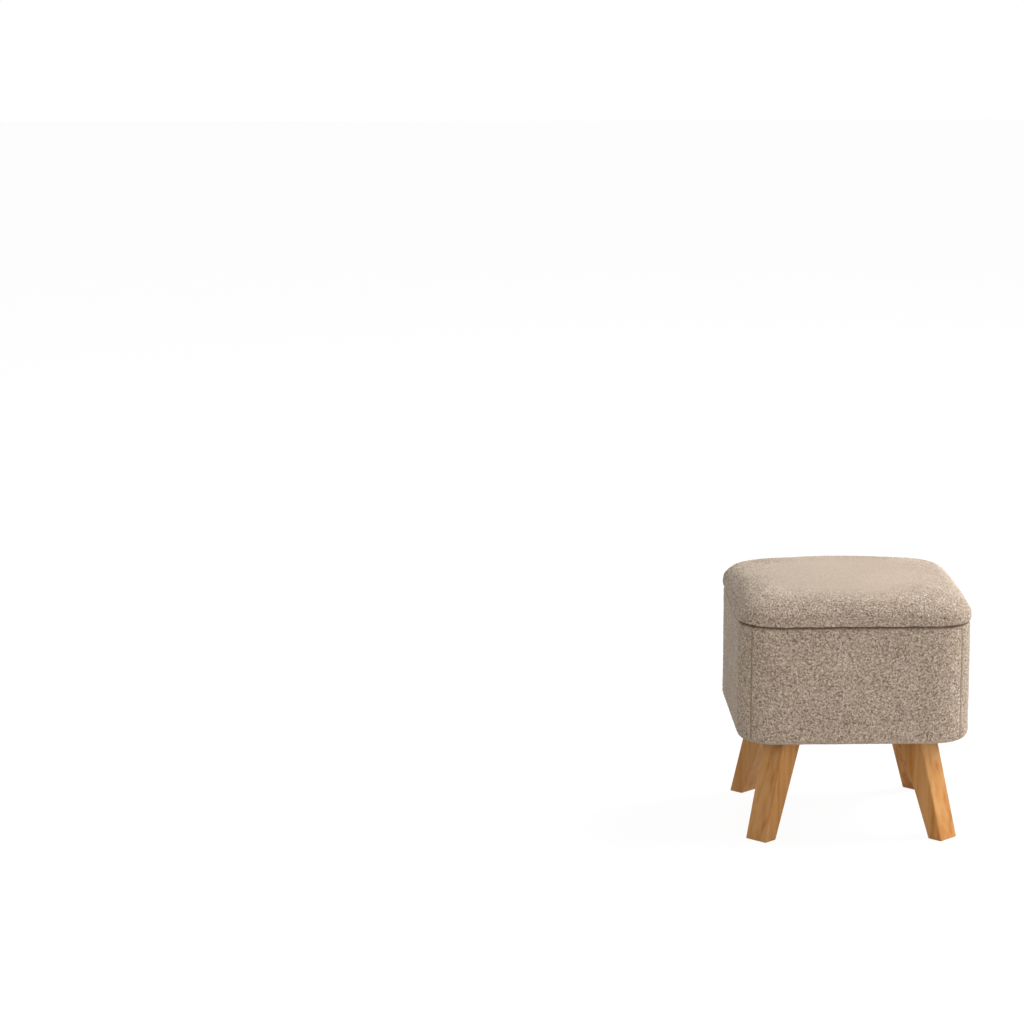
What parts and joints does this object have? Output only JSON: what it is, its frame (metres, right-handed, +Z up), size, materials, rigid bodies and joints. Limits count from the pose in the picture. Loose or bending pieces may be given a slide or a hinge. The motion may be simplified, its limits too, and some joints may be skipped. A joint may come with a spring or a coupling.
{
  "type": "storage footstool",
  "caption": "Square padded footstool with a hinged lid over a storage box, covered in curly fleece, on splayed tapered wooden legs.",
  "frame": {"origin": "on the floor under the centre of the bounding box", "axes": "+Z up, -Y towards the front, +X to the right as seen from the front; the lid is hinged along the rear, +Y edge"},
  "size_m": [0.369, 0.3732, 0.4],
  "materials": {
    "teddy_fleece": "curly matt pile",
    "foam": "open-cell foam",
    "case_wood": "unfinished board",
    "leg_wood": "satin clear lacquer",
    "lining_cloth": "plain matt cloth",
    "dust_cloth": "matt non-woven",
    "zinc_steel": "zinc plated"
  },
  "bodies": {
    "box": {"box_cover_front": "teddy_fleece", "box_cover_rear": "teddy_fleece", "box_cover_left": "teddy_fleece", "box_cover_right": "teddy_fleece", "side_padding": "foam", "front_panel": "case_wood", "rear_panel": "case_wood", "left_panel": "case_wood", "right_panel": "case_wood", "bottom_board": "case_wood", "corner_post_front_left": "case_wood", "corner_post_front_right": "case_wood", "corner_post_rear_left": "case_wood", "corner_post_rear_right": "case_wood", "corner_dowels": "case_wood", "leg_front_left": "leg_wood", "leg_front_right": "leg_wood", "leg_rear_left": "leg_wood", "leg_rear_right": "leg_wood", "lining_walls": "lining_cloth", "lining_floor": "lining_cloth", "dust_cover": "dust_cloth", "hinge_left_box_leaf": "zinc_steel", "hinge_right_box_leaf": "zinc_steel", "hinge_left_pin": "zinc_steel", "hinge_right_pin": "zinc_steel", "hinge_box_screws": "zinc_steel", "case_screws": "zinc_steel", "leg_bolts": "zinc_steel", "leg_washers": "zinc_steel", "leg_inserts": "zinc_steel", "stay_box_bracket": "zinc_steel", "stay_box_screws": "zinc_steel", "stay_box_pin": "zinc_steel"},
    "lid": {"lid_board": "case_wood", "lid_foam": "foam", "lid_cover": "teddy_fleece", "lid_lining": "lining_cloth", "hinge_left_lid_leaf": "zinc_steel", "hinge_right_lid_leaf": "zinc_steel", "hinge_lid_screws": "zinc_steel", "stay_lid_bracket": "zinc_steel", "stay_lid_screws": "zinc_steel", "stay_lid_pin": "zinc_steel"},
    "stay_lower": {"stay_lower_arm": "zinc_steel", "stay_elbow_pin": "zinc_steel"},
    "stay_upper": {"stay_upper_arm": "zinc_steel"}
  },
  "joints": [
    {"name": "lid_hinge", "type": "hinge", "parent": "box", "child": "lid", "pos_m": [0, 0.18345, 0.349], "axis": [-1, 0, 0], "range_deg": [0, 95]},
    {"name": "stay_lower_pivot", "type": "hinge", "parent": "box", "child": "stay_lower", "pos_m": [0.1552, 0.10345, 0.241], "axis": [-1, 0, 0], "range_deg": [0, 95]},
    {"name": "stay_upper_pivot", "type": "hinge", "parent": "lid", "child": "stay_upper", "pos_m": [0.1528, 0.07145, 0.335], "axis": [-1, 0, 0], "range_deg": [-95, 0]}
  ],
  "couplings": [
    {"joint": "stay_lower_pivot", "follows": "lid_hinge", "ratio": 1},
    {"joint": "stay_upper_pivot", "follows": "lid_hinge", "ratio": -1}
  ]
}
